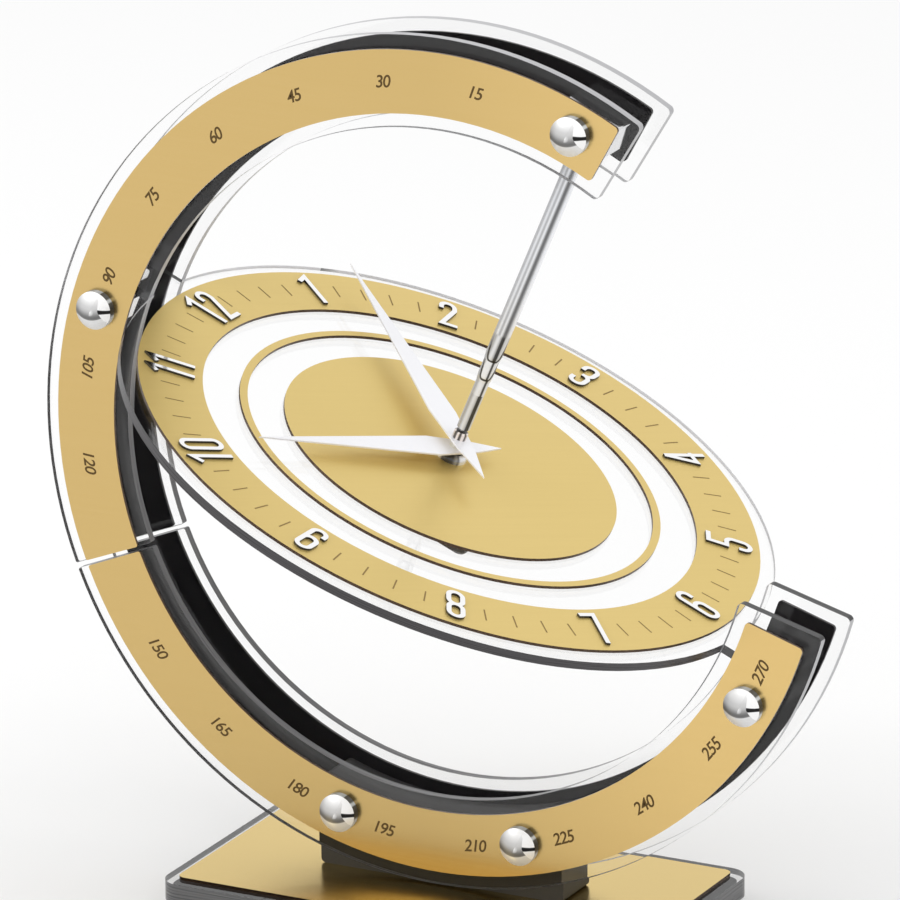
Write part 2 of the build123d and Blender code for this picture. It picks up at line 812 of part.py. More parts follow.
with BuildPart() as rotor:
    rotor_phase = mesh_phase(0, third_teeth, rotor_pinion_teeth, rotor_direction)
    rotor_pinion_low = third_layer - pinion_extra
    add_gear(rotor_module, rotor_pinion_teeth, rotor_phase, rotor_pinion_low, pinion_thickness, rotor_place)
    magnet_low = stator_layer + stator_thickness / 2 - magnet_height / 2
    add_rod(magnet_radius, magnet_low, magnet_low + magnet_height, rotor_place)
    rotor_arbor_radius = arbor_radius - pinion_extra
    add_rod(rotor_arbor_radius, cover_front - pivot_depth, bridge_layer + bridge_thickness, rotor_place)
finish("rotor", rotor)

with BuildPart() as setting_knob:
    knob_phase = mesh_phase(motion_phase, motion_teeth, knob_teeth, knob_direction)
    knob_pinion_low = motion_layer - pinion_extra
    add_gear(motion_module, knob_teeth, knob_phase, knob_pinion_low, pinion_thickness, knob_place)
    knob_top = case_back - side_play
    add_rod(knob_shaft_radius, knob_top, knob_pinion_low, knob_place)
    add_rod(arbor_radius, knob_pinion_low, case_front - movement_wall + pivot_depth, knob_place)
    with BuildSketch(dial_plane(knob_top - knob_height, 0, *knob_place)):
        Circle(knob_radius)
        with PolarLocations(knob_radius, knob_flutes):
            Circle(knob_flute_radius, mode=Mode.SUBTRACT)
    extrude(amount=knob_height)
finish("setting_knob", setting_knob)

# The movement's case: a front shell with the threaded bushing, a bridge, and a rear cover
half_side = movement_side / 2
bay_high = battery_centre + battery_bay_width / 2
cavity_low = bay_high + bay_wall
cavity_high = half_side - movement_wall
cavity_height = cavity_high - cavity_low
cavity_middle = (cavity_high + cavity_low) / 2
cavity_width = movement_side - 2 * movement_wall
cavity_front = case_front - movement_wall
cover_height = half_side - cavity_low + bay_wall
cover_middle = half_side - cover_height / 2
bay_height = movement_side - cover_height - fit_play
bay_middle = bay_height / 2 - half_side
battery_axis_height = case_front - battery_back - battery_radius
case_screw_places = ((half_side - 2 * movement_wall, cavity_high - movement_wall),
                     (2 * movement_wall - half_side, cavity_high - movement_wall))

with BuildPart() as movement_case:
    with BuildSketch(dial_plane(cover_front)):
        RectangleRounded(movement_side, movement_side, movement_corner)
    extrude(amount=case_front - cover_front)
    with BuildSketch(dial_plane(case_back, 0, 0, bay_middle)):
        RectangleRounded(movement_side, bay_height, movement_corner)
    extrude(amount=cover_thickness)
    with BuildSketch(dial_plane(cover_front, 0, 0, cavity_middle)):
        RectangleRounded(cavity_width, cavity_height, movement_wall)
    extrude(amount=cavity_front - cover_front, mode=Mode.SUBTRACT)
    with BuildSketch(dial_plane(case_back, 0, 0, battery_centre)):
        Rectangle(cavity_width, battery_bay_width)
    extrude(amount=battery_axis_height - case_back, mode=Mode.SUBTRACT)
    bay_start = ring_centre + rod_direction * battery_axis_height + twelve_direction * battery_centre
    bay_plane = Plane(origin=bay_start - three_direction * (cavity_width / 2), x_dir=twelve_direction,
                      z_dir=three_direction)
    with BuildSketch(bay_plane):
        Circle(battery_radius + fit_play)
    extrude(amount=cavity_width, mode=Mode.SUBTRACT)
    for place in case_screw_places:
        add_rod(case_screw_head_radius, cover_front, cavity_front, place)
        screw_end = cover_front + case_screw_length
        add_rod(case_screw_radius + fit_play, cover_front, screw_end, place, Mode.SUBTRACT)
    add_rod(bushing_radius, case_front, bushing_rise)
    add_rod(hour_pipe_radius + run_play, cavity_front, bushing_rise, mode=Mode.SUBTRACT)
    pivot_end = cavity_front + pivot_depth + fit_play
    for place in (motion_place, knob_place):
        add_rod(arbor_radius + run_play, cavity_front, pivot_end, place, Mode.SUBTRACT)
finish("movement_case", movement_case)

with BuildPart() as gear_bridge:
    with BuildSketch(dial_plane(bridge_layer, 0, 0, cavity_middle)):
        RectangleRounded(cavity_width - 2 * fit_play, cavity_height - 2 * fit_play, movement_wall)
    extrude(amount=bridge_thickness)
    bridge_top = bridge_layer + bridge_thickness
    add_rod(minute_arbor_radius + run_play, bridge_layer, bridge_top, mode=Mode.SUBTRACT)
    rotor_hole = rotor_arbor_radius + run_play
    arbor_hole = arbor_radius + run_play
    add_rod(rotor_hole, bridge_layer, bridge_top, rotor_place, Mode.SUBTRACT)
    add_rod(arbor_hole, bridge_layer, bridge_top, third_place, Mode.SUBTRACT)
    add_rod(arbor_hole, bridge_layer, bridge_top, motion_place, Mode.SUBTRACT)
    add_rod(knob_shaft_radius + run_play, bridge_layer, bridge_top, knob_place, Mode.SUBTRACT)
    for place in case_screw_places:
        add_rod(case_screw_head_radius + fit_play, bridge_layer, bridge_top, place, Mode.SUBTRACT)
finish("gear_bridge", gear_bridge)

left_arm = coil_centre - core_half_length + stator_arm_width / 2
right_arm = coil_centre + core_half_length - stator_arm_width / 2
with BuildPart() as movement_cover:
    with BuildSketch(dial_plane(case_back, 0, 0, cover_middle)):
        RectangleRounded(movement_side, cover_height, movement_corner)
    extrude(amount=cover_thickness)
    add_rod(knob_shaft_radius + run_play, case_back, cover_front, knob_place, Mode.SUBTRACT)
    for place, hole in (((0, 0), arbor_hole), (third_place, arbor_hole), (rotor_place, rotor_hole)):
        add_rod(hole, cover_front - pivot_depth - fit_play, cover_front, place, Mode.SUBTRACT)
    for place in ((left_arm, coil_row - stator_arm_width), (right_arm, coil_row - stator_arm_width)):
        add_rod(post_radius, cover_front, stator_layer, place)
    for place in case_screw_places:
        add_rod(case_screw_radius + shank_clearance, case_back, cover_front, place, Mode.SUBTRACT)
finish("movement_cover", movement_cover)

with BuildPart() as case_screws:
    for place in case_screw_places:
        add_rod(case_screw_head_radius, case_back - case_screw_head_height, case_back, place)
        add_rod(case_screw_radius, case_back, cover_front + case_screw_length - fit_play, place)
finish("case_screws", case_screws)

# The stepping motor: stator plate, coil on its core
with BuildPart() as stator:
    with BuildSketch(dial_plane(stator_layer)):
        left = left_arm - stator_arm_width / 2
        right = right_arm + stator_arm_width / 2
        foot_end = rotor_place[0] + magnet_radius + magnet_gap + pinion_extra
        foot_top = stator_bottom + stator_foot_width
        shelf_top = foot_top + stator_arm_width / 2
        with BuildLine():
            Polyline(
                (left, stator_bottom),
                (foot_end, stator_bottom),
                (foot_end, foot_top - stator_arm_width / 4),
                (right, foot_top - stator_arm_width / 4),
                (right, stator_top),
                (right - stator_arm_width, stator_top),
                (right - stator_arm_width, shelf_top),
                (left + stator_arm_width, shelf_top),
                (left + stator_arm_width, stator_top),
                (left, stator_top),
                close=True,
            )
        make_face()
        with Locations(rotor_place):
            Circle(magnet_radius + magnet_gap, mode=Mode.SUBTRACT)
    extrude(amount=stator_thickness)
finish("stator", stator)

core_low = stator_layer + stator_thickness
with BuildPart() as coil:
    with BuildSketch(dial_plane(core_low, 0, coil_centre, coil_row)):
        Rectangle(2 * core_half_length, 2 * core_half_width)
    extrude(amount=stator_thickness)
    core_middle = core_low + stator_thickness / 2
    coil_start = dial_plane(core_middle, 0, coil_centre - coil_length / 2, coil_row).origin
    with BuildSketch(Plane(origin=coil_start, x_dir=twelve_direction, z_dir=three_direction)):
        Circle(coil_radius)
    extrude(amount=coil_length)
    for shift in (0, coil_length - coil_flange_thickness):
        flange = coil_start + three_direction * shift
        with BuildSketch(Plane(origin=flange, x_dir=twelve_direction, z_dir=three_direction)):
            Circle(coil_flange_radius)
        extrude(amount=coil_flange_thickness)
finish("coil", coil)

with BuildPart() as circuit_board:
    with BuildSketch(dial_plane(cover_front, 0, board_column, board_row)):
        Rectangle(board_length, board_width)
    extrude(amount=board_thickness)
    board_top = cover_front + board_thickness
    add_rod(chip_radius, board_top, board_top + chip_height, (board_column - chip_radius, board_row))
    can_column = board_column + 2 * chip_radius
    can_start = dial_plane(board_top + crystal_radius, 0, can_column, board_row - crystal_length / 2).origin
    with BuildSketch(Plane(origin=can_start, x_dir=three_direction, z_dir=twelve_direction)):
        Circle(crystal_radius)
    extrude(amount=crystal_length)
finish("circuit_board", circuit_board)

# Battery and its two contacts
battery_half_length = (battery_length + battery_nub_length) / 2
battery_start = dial_plane(battery_axis_height, 0, -battery_half_length, battery_centre).origin
with BuildPart() as battery:
    with BuildSketch(Plane(origin=battery_start, x_dir=twelve_direction, z_dir=three_direction)):
        Circle(battery_radius)
    extrude(amount=battery_length)
    chamfer(battery.edges().filter_by(GeomType.CIRCLE), battery_edge)
    battery_end = battery_start + three_direction * battery_length
    with BuildSketch(Plane(origin=battery_end, x_dir=twelve_direction, z_dir=three_direction)):
        Circle(battery_nub_radius)
    extrude(amount=battery_nub_length)
finish("battery", battery)

contact_reach = (cavity_width - battery_length - battery_nub_length) / 2
for name, side in (("contact_plus", 1), ("contact_minus", -1)):
    with BuildPart() as contact:
        wall = dial_plane(battery_axis_height, 0, side * cavity_width / 2, battery_centre).origin
        inward = three_direction * -side
        with BuildSketch(Plane(origin=wall, x_dir=twelve_direction, z_dir=inward)):
            RectangleRounded(contact_side, contact_side, contact_thickness)
        extrude(amount=contact_thickness)
        with BuildSketch(Plane(origin=wall, x_dir=twelve_direction, z_dir=inward)):
            Circle(contact_dimple_radius)
        extrude(amount=contact_reach)
    finish(name, contact)

# The base: a block between the ring plates, on a clear slab with a gold panel and a soft pad
with BuildPart() as foot_block:
    with BuildSketch(Plane(origin=(0, inner_face, 0), x_dir=(1, 0, 0), z_dir=(0, -1, 0))) as foot_outline:
        with Locations((0, base_top)):
            foot_rise = ring_centre_height - base_top
            Rectangle(2 * foot_half_length, foot_rise, align=(Align.CENTER, Align.MIN))
        with Locations((0, ring_centre_height)):
            Circle(foot_top_radius, mode=Mode.SUBTRACT)
        fillet(foot_outline.vertices().group_by(Axis.Z)[0], foot_corner)
    extrude(amount=ring_plate_gap)
    keep_below = ring_centre_height - sqrt(foot_top_radius**2 - foot_half_length**2)
    with BuildSketch(Plane.XY.offset(keep_below)):
        Rectangle(base_length, base_depth)
    extrude(amount=ring_centre_height, mode=Mode.SUBTRACT)
    for angle in cap_angles[2:4]:
        with BuildSketch(Plane(origin=ring_point(panel_middle_radius, angle, inner_face), z_dir=(0, 1, 0))):
            Circle(shank_radius + fit_play)
        extrude(amount=ring_plate_gap, mode=Mode.SUBTRACT)
    screw_rise = base_screw_length - base_thickness - panel_thickness
    with BuildSketch(Plane.XY.offset(base_top)):
        with Locations((-base_screw_half_spacing, 0), (base_screw_half_spacing, 0)):
            Circle(base_screw_radius + fit_play)
    extrude(amount=screw_rise + fit_play, mode=Mode.SUBTRACT)
finish("foot_block", foot_block)

slab_plane = Plane.XY.offset(base_pad_thickness)
with BuildPart() as base_plate:
    with BuildSketch(slab_plane):
        RectangleRounded(base_length, base_depth, base_corner)
    extrude(amount=base_thickness)
    head_drop = base_screw_head_radius - base_screw_radius
    for side in (-1, 1):
        spot = Location((side * base_screw_half_spacing, 0))
        with BuildSketch(slab_plane):
            with Locations(spot):
                Circle(base_screw_head_radius + fit_play)
        with BuildSketch(slab_plane.offset(head_drop)):
            with Locations(spot):
                Circle(base_screw_radius + shank_clearance)
        loft(mode=Mode.SUBTRACT)
        with BuildSketch(slab_plane):
            with Locations(spot):
                Circle(base_screw_radius + shank_clearance)
        extrude(amount=base_thickness, mode=Mode.SUBTRACT)
finish("base_plate", base_plate)

with BuildPart() as base_panel:
    with BuildSketch(slab_plane.offset(base_thickness)):
        panel_length = base_length - 2 * base_panel_inset
        RectangleRounded(panel_length, base_depth - 2 * base_panel_inset, base_corner - base_panel_inset)
        with Locations((-base_screw_half_spacing, 0), (base_screw_half_spacing, 0)):
            Circle(base_screw_radius + shank_clearance, mode=Mode.SUBTRACT)
    extrude(amount=panel_thickness)
finish("base_panel", base_panel)

with BuildPart() as base_screws:
    for side in (-1, 1):
        head = Vector(side * base_screw_half_spacing, 0, base_pad_thickness)
        with BuildSketch(section_plane(head, Vector(0, 0, 1), Vector(1, 0, 0))):
            with BuildLine():
                Polyline(
                    (0, 0),
                    (base_screw_head_radius, 0),
                    (base_screw_radius, head_drop),
                    (base_screw_radius, base_screw_length),
                    (0, base_screw_length),
                    close=True,
                )
            make_face()
        revolve(axis=Axis(head, (0, 0, 1)))
finish("base_screws", base_screws)

with BuildPart() as base_pad:
    with BuildSketch():
        pad_length = base_length - 2 * base_pad_inset
        RectangleRounded(pad_length, base_depth - 2 * base_pad_inset, base_corner - base_pad_inset)
    extrude(amount=base_pad_thickness)
finish("base_pad", base_pad)
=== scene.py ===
import bpy
import numpy as np
from mathutils import Matrix, Vector


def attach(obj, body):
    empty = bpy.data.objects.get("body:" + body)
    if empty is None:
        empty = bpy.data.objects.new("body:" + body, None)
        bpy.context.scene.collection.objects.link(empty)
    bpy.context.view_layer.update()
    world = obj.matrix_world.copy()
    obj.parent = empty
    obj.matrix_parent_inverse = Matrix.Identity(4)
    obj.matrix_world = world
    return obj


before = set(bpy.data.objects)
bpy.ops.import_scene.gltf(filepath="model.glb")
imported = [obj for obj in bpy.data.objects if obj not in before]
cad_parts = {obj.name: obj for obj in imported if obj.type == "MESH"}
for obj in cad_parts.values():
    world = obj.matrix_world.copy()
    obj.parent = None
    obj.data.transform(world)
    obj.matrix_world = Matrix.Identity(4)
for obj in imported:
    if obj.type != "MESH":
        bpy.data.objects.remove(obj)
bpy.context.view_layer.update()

# The viewpoint. A long lens stands some three metres off, to the right of the ring's face
# and a little above it, and looks at the middle of the ring.
ring_centre = Vector((0, 0, 0.1783))
camera_aim = ring_centre + Vector((-0.000707, 0.000468, 0.002329))
camera_turn, camera_rise, camera_roll = np.radians((27.4286, 17.6582, -0.5003))
camera_distance = 3.2442
level = Vector((np.cos(camera_turn), np.sin(camera_turn), 0))
ahead = Vector((-np.sin(camera_turn), np.cos(camera_turn), 0))
backward = Vector((0, 0, np.sin(camera_rise))) - ahead * np.cos(camera_rise)
upright = backward.cross(level)
camera_right = level * np.cos(camera_roll) + upright * np.sin(camera_roll)
camera_up = backward.cross(camera_right)
camera_axes = Matrix((camera_right, camera_up, backward)).transposed()
lens = bpy.data.cameras.new("camera")
lens.lens = 344.225
lens.sensor_width = 36
camera = bpy.data.objects.new("camera", lens)
camera.matrix_world = Matrix.Translation(camera_aim + backward * camera_distance) @ camera_axes.to_4x4()
bpy.context.scene.collection.objects.link(camera)
bpy.context.scene.camera = camera
bpy.context.scene.view_settings.view_transform = "Standard"


# The room. A white tent all round lights the clock evenly, and everything that is looked at,
# mirrored or looked through shows it as plain white.
def joined(nodes, links, kind, *inputs, **settings):
    """A new node of a kind, with each input, in order, a socket to link or a value to set."""
    node = nodes.new(kind)
    for key, value in settings.items():
        setattr(node, key, value)
    for place, value in enumerate(inputs):
        if isinstance(value, bpy.types.NodeSocket):
            links.new(value, node.inputs[place])
        elif value is not None:
            node.inputs[place].default_value = value
    return node.outputs[0] if node.outputs else node


def seen_rays(nodes, links):
    """1 for rays that look at, mirror or pass through a thing, and 0 for rays that light it."""
    path = nodes.new("ShaderNodeLightPath").outputs
    mirrored = joined(nodes, links, "ShaderNodeMath", path["Is Camera Ray"], path["Is Glossy Ray"], operation="MAXIMUM")
    return joined(nodes, links, "ShaderNodeMath", mirrored, path["Is Transmission Ray"], operation="MAXIMUM")


room = bpy.data.worlds.new("white_tent")
bpy.context.scene.world = room
room.use_nodes = True
nodes, links = room.node_tree.nodes, room.node_tree.links
nodes.clear()
soft_light = joined(nodes, links, "ShaderNodeBackground", (1, 1, 1, 1), 0.98)
plain_white = joined(nodes, links, "ShaderNodeBackground", (1, 1, 1, 1), 1.0)
tent = joined(nodes, links, "ShaderNodeMixShader", seen_rays(nodes, links), soft_light, plain_white)
joined(nodes, links, "ShaderNodeOutputWorld", tent)

# The floor. A wide pale sheet that keeps a soft shadow of the base.
# It runs far past the view, so that no edge of it shows from any side.
floor_half = 60.0
floor_corners = [(x * floor_half, y * floor_half, -0.0002) for x, y in ((-1, -1), (1, -1), (1, 1), (-1, 1))]
floor_mesh = bpy.data.meshes.new("floor")
floor_mesh.from_pydata(floor_corners, [], [(0, 1, 2, 3)])
floor = bpy.data.objects.new("floor", floor_mesh)
bpy.context.scene.collection.objects.link(floor)
pale_floor = bpy.data.materials.new("pale_floor")
pale_floor.use_nodes = True
nodes, links = pale_floor.node_tree.nodes, pale_floor.node_tree.links
nodes.clear()
sheet = joined(nodes, links, "ShaderNodeBsdfDiffuse", (0.78, 0.78, 0.78, 1))
glow = joined(nodes, links, "ShaderNodeEmission", (1, 1, 1, 1), 0.1)
lifted = joined(nodes, links, "ShaderNodeAddShader", sheet, glow)
floor_look = joined(nodes, links, "ShaderNodeMixShader", seen_rays(nodes, links), sheet, lifted)
joined(nodes, links, "ShaderNodeOutputMaterial", floor_look)
floor_mesh.materials.append(pale_floor)


# The lamps. One broad soft box high on the left and a weaker one on the right,
# both well away from what the flat gold faces mirror.
def soft_box(name, place, width, watts):
    """A square lamp at a place, turned to face the middle of the ring."""
    lamp = bpy.data.lights.new(name, "AREA")
    lamp.size = width
    lamp.energy = watts
    holder = bpy.data.objects.new(name, lamp)
    aim = (ring_centre - Vector(place)).to_track_quat("-Z", "Y")
    holder.matrix_world = Matrix.Translation(place) @ aim.to_matrix().to_4x4()
    bpy.context.scene.collection.objects.link(holder)


soft_box("left_box", (-1.6, -1.1, 1.9), 1.2, 16)
soft_box("right_box", (1.9, 0.4, 2.2), 1.2, 9)


# The pad under the base. A sheet of soft rubber, stuck to the underside,
# so that the heavy plate doesn't slip or mark the table.
def coating(name, **sockets):
    """A material with one plain surface shader, its sockets set by name; returns it with its nodes and links."""
    material = bpy.data.materials.new(name)
    material.use_nodes = True
    nodes, links = material.node_tree.nodes, material.node_tree.links
    nodes.clear()
    shader = nodes.new("ShaderNodeBsdfPrincipled")
    for key, value in sockets.items():
        shader.inputs[key.replace("_", " ")].default_value = value
    joined(nodes, links, "ShaderNodeOutputMaterial", shader.outputs[0])
    return material, nodes, links, shader


def speckle(nodes, links, grain, detail=4.0, frame_in=None, stretch=(1, 1, 1)):
    """Soft noise from 0 to 1 over the object, its grain in metres; stretch lengthens it along each axis."""
    place = nodes.new("ShaderNodeTexCoord").outputs["Object"] if frame_in is None else frame_in
    scaled = joined(nodes, links, "ShaderNodeVectorMath", place, tuple(1 / (grain * s) for s in stretch), operation="MULTIPLY")
    noise = nodes.new("ShaderNodeTexNoise")
    links.new(scaled, noise.inputs["Vector"])
    noise.inputs["Scale"].default_value = 1.0
    noise.inputs["Detail"].default_value = detail
    noise.inputs["Roughness"].default_value = 0.55
    return noise.outputs["Fac"]


def spread(nodes, links, value, low, high):
    """A value from 0 to 1 carried to the range from low to high, which may be numbers or colours."""
    if isinstance(low, tuple):
        mix = nodes.new("ShaderNodeMix")
        mix.data_type = "RGBA"
        links.new(value, mix.inputs["Factor"])
        mix.inputs[6].default_value = low + (1,)
        mix.inputs[7].default_value = high + (1,)
        return mix.outputs[2]
    mapped = nodes.new("ShaderNodeMapRange")
    links.new(value, mapped.inputs["Value"])
    mapped.inputs["To Min"].default_value = low
    mapped.inputs["To Max"].default_value = high
    return mapped.outputs["Result"]


def roughen(nodes, links, shader, height, depth, strength=1.0):
    """Gives a shader a bump of a depth in metres from a height between 0 and 1."""
    bump = nodes.new("ShaderNodeBump")
    bump.inputs["Distance"].default_value = depth
    bump.inputs["Strength"].default_value = strength
    links.new(height, bump.inputs["Height"])
    links.new(bump.outputs["Normal"], shader.inputs["Normal"])


def moulded(name, dark, light, grain, depth, rough_low, rough_high, **sockets):
    """A plain material whose colour, gloss and bump all follow one fine noise."""
    material, nodes, links, shader = coating(name, **sockets)
    noise = speckle(nodes, links, grain)
    links.new(spread(nodes, links, noise, dark, light), shader.inputs["Base Color"])
    links.new(spread(nodes, links, noise, rough_low, rough_high), shader.inputs["Roughness"])
    roughen(nodes, links, shader, noise, depth, 0.6)
    return material


def finish(material, *names):
    """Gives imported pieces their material."""
    for name in names:
        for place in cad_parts[name].material_slots:
            place.material = material


rubber = moulded("rubber", (0.02, 0.02, 0.02), (0.045, 0.045, 0.045), 0.0006, 0.00005, 0.7, 0.9)
finish(rubber, "base_pad", "gasket")

# The clear plates. Cast acrylic, cut by laser and left clear on both faces; the cut edges are painted dark grey
# with pale streaks along them: a painted reflection and painted highlights, as thick clear edges look in a white room.
dial_tilt = np.radians(23.4)
rod_way = Vector((np.sin(dial_tilt), 0, np.cos(dial_tilt)))
twelve_way = Vector((-np.cos(dial_tilt), 0, np.sin(dial_tilt)))
three_way = Vector((0, 1, 0))


def turned_place(nodes, links, across, along, through):
    """The object's place counted along three directions of its own, as a vector."""
    place = nodes.new("ShaderNodeTexCoord").outputs["Object"]
    parts = []
    for direction in (across, along, through):
        dot = nodes.new("ShaderNodeVectorMath")
        dot.operation = "DOT_PRODUCT"
        links.new(place, dot.inputs[0])
        dot.inputs[1].default_value = direction
        parts.append(dot.outputs["Value"])
    return joined(nodes, links, "ShaderNodeCombineXYZ", *parts)


def facing(nodes, links, direction):
    """How far the surface faces along a direction, from -1 to 1."""
    dot = nodes.new("ShaderNodeVectorMath")
    dot.operation = "DOT_PRODUCT"
    links.new(nodes.new("ShaderNodeTexCoord").outputs["Normal"], dot.inputs[0])
    dot.inputs[1].default_value = direction
    return dot.outputs["Value"]


def cut_edge(nodes, links, through):
    """1 on the cut sides of a sheet and 0 on its two faces, from how the surface lies to the sheet's own direction."""
    size = joined(nodes, links, "ShaderNodeMath", facing(nodes, links, through), operation="ABSOLUTE")
    return joined(nodes, links, "ShaderNodeMath", size, 0.6, operation="LESS_THAN")


def lit_side(nodes, links, direction, start, end, clamp=True):
    """0 to 1 as the object's place, counted along a direction in metres, goes from the start to the end."""
    along = nodes.new("ShaderNodeVectorMath")
    along.operation = "DOT_PRODUCT"
    links.new(nodes.new("ShaderNodeTexCoord").outputs["Object"], along.inputs[0])
    along.inputs[1].default_value = direction
    mapped = nodes.new("ShaderNodeMapRange")
    mapped.clamp = clamp
    links.new(along.outputs["Value"], mapped.inputs["Value"])
    mapped.inputs["From Min"].default_value = start
    mapped.inputs["From Max"].default_value = end
    return mapped.outputs["Result"]


def blended(nodes, links, share, first, second):
    """The first colour where the share is 0 and the second where it is 1."""
    mix = nodes.new("ShaderNodeMix")
    mix.data_type = "RGBA"
    links.new(share, mix.inputs["Factor"])
    for place, value in ((6, first), (7, second)):
        if isinstance(value, bpy.types.NodeSocket):
            links.new(value, mix.inputs[place])
        else:
            mix.inputs[place].default_value = tuple(value) + (1,)
    return mix.outputs[2]


def clear_sheet(name, through, edge_dark, edge_light, streak_way, painted_edge_patches):
    """Clear acrylic whose cut edges carry a painted reflection with painted highlight streaks; lamps shine through it.
    Each patch paints the edges another grey, lighter or darker as a painted reflection, from a start to an end
    along a direction, and only where they face a way of its own, if it has one."""
    material = bpy.data.materials.new(name)
    material.use_nodes = True
    nodes, links = material.node_tree.nodes, material.node_tree.links
    nodes.clear()
    face = nodes.new("ShaderNodeBsdfPrincipled")
    face.inputs["Base Color"].default_value = (0.985, 0.985, 0.985, 1)
    face.inputs["Transmission Weight"].default_value = 1
    face.inputs["Roughness"].default_value = 0
    face.inputs["IOR"].default_value = 1.49
    face.inputs["Specular Tint"].default_value = (0.5, 0.5, 0.5, 1)
    edge = nodes.new("ShaderNodeBsdfPrincipled")
    edge.inputs["IOR"].default_value = 1.49
    # The pale streaks are painted highlights, over the dark grey of a painted reflection.
    streaks = speckle(nodes, links, 0.0011, 3.0, turned_place(nodes, links, *streak_way), (30, 30, 0.35))
    tone = spread(nodes, links, streaks, edge_dark, edge_light)
    for direction, start, end, grey, side in painted_edge_patches:
        share = lit_side(nodes, links, direction, start, end)
        if side:
            turned = joined(nodes, links, "ShaderNodeMath", facing(nodes, links, side), 0.6, operation="GREATER_THAN")
            share = joined(nodes, links, "ShaderNodeMath", share, turned, operation="MULTIPLY")
        tone = blended(nodes, links, share, tone, (grey, grey, grey * 1.03))
    links.new(tone, edge.inputs["Base Color"])
    links.new(spread(nodes, links, streaks, 0.18, 0.4), edge.inputs["Roughness"])
    solid = joined(nodes, links, "ShaderNodeMixShader", cut_edge(nodes, links, through), face.outputs[0], edge.outputs[0])
    see_through(nodes, links, solid, 0.93)
    return material


def see_through(nodes, links, surface, share):
    """Lets a share of all light that only lights things straight through a surface, and ends the material."""
    passing = joined(nodes, links, "ShaderNodeBsdfTransparent", (share, share, share, 1))
    path = nodes.new("ShaderNodeLightPath").outputs
    shade = joined(nodes, links, "ShaderNodeMath", path["Is Shadow Ray"], path["Is Diffuse Ray"], operation="MAXIMUM")
    look = joined(nodes, links, "ShaderNodeMixShader", shade, surface, passing)
    joined(nodes, links, "ShaderNodeOutputMaterial", look)


ring_way = (Vector((1, 0, 0)), Vector((0, 0, 1)), Vector((0, -1, 0)))
dial_way = (three_way, twelve_way, rod_way)
base_way = (Vector((1, 0, 0)), Vector((0, 1, 0)), Vector((0, 0, 1)))
middle = rod_way.dot(ring_centre)
# The ring plates' edges: a painted reflection, lighter grey over the upper part and at the right end, and dark there
# where they face up the rod.
ring_painted_patches = [(rod_way, middle - 0.055, middle - 0.015, 0.40, None)]
ring_painted_patches += [(Vector((1, 0, 0)), 0.10, 0.125, 0.40, None), (Vector((1, 0, 0)), 0.10, 0.125, 0.022, rod_way)]
ring_painted_edge = ((0.02, 0.018, 0.02), (0.20, 0.20, 0.21), ring_way, ring_painted_patches)
# The dial plate's edges: a painted reflection, pale on the far rim and dark on a short stretch near twelve.
dial_far = three_way * 0.948 + twelve_way * 0.316
far_middle = dial_far.dot(ring_centre)
dial_painted_patches = [(dial_far, far_middle - 0.02, far_middle + 0.08, 0.85, None)]
twelve_middle = twelve_way.dot(ring_centre)
dial_painted_patches += [(twelve_way, twelve_middle + 0.1, twelve_middle + 0.106, 0.04, -three_way)]
dial_painted_edge = ((0.014, 0.013, 0.014), (0.075, 0.07, 0.075), dial_way, dial_painted_patches)
ring_clear = clear_sheet("ring_clear", ring_way[2], *ring_painted_edge)
dial_clear = clear_sheet("dial_clear", rod_way, *dial_painted_edge)
# The base plate's edges carry the same painted dark reflection with pale painted highlight streaks.
base_clear = clear_sheet("base_clear", base_way[2], (0.03, 0.03, 0.032), (0.18, 0.18, 0.18), base_way, [])
finish(ring_clear, "front_plate_upper", "front_plate_lower", "rear_plate_upper", "rear_plate_lower")
finish(dial_clear, "dial_plate")
finish(base_clear, "base_plate")


# The gold sheets. Thin aluminium, brushed in one direction, anodised gold and cut to shape,
# so that the bare cut sides stay dark brown.
def brushed_gold(name, deep, bright, way, metal=1.0, smooth=0.2, painted_light_gain=1.0):
    """Gold sheet with long fine scratches along its first direction and brown cut sides; a gain above 1 paints light on
    it, brighter towards +x.
    """
    material, nodes, links, shader = coating(name, Metallic=metal, Anisotropic=0.35)
    place = turned_place(nodes, links, *way)
    fine = speckle(nodes, links, 0.00022, 3.0, place, (90, 1, 1))
    broad = speckle(nodes, links, 0.0016, 2.0, place, (60, 1, 1))
    both = joined(nodes, links, "ShaderNodeMath", fine, broad, operation="ADD")
    grain = joined(nodes, links, "ShaderNodeMath", both, 0.5, operation="MULTIPLY")
    sides = cut_edge(nodes, links, way[2])
    tone = nodes.new("ShaderNodeMix")
    tone.data_type = "RGBA"
    links.new(sides, tone.inputs["Factor"])
    sheet_tone = spread(nodes, links, grain, deep, bright)
    if painted_light_gain > 1:
        rise = joined(nodes, links, "ShaderNodeMath", lit_side(nodes, links, Vector((1, 0, 0)), 0.0, 0.11), painted_light_gain - 1, operation="MULTIPLY")
        factor = joined(nodes, links, "ShaderNodeMath", rise, 1.0, operation="ADD")
        scaled = nodes.new("ShaderNodeVectorMath")
        scaled.operation = "SCALE"
        links.new(sheet_tone, scaled.inputs[0])
        links.new(factor, scaled.inputs["Scale"])
        sheet_tone = scaled.outputs[0]
    links.new(sheet_tone, tone.inputs[6])
    tone.inputs[7].default_value = (0.085, 0.052, 0.032, 1)
    links.new(tone.outputs[2], shader.inputs["Base Color"])
    links.new(spread(nodes, links, grain, smooth, smooth + 0.1), shader.inputs["Roughness"])
    roughen(nodes, links, shader, fine, 0.000004, 0.5)
    return material


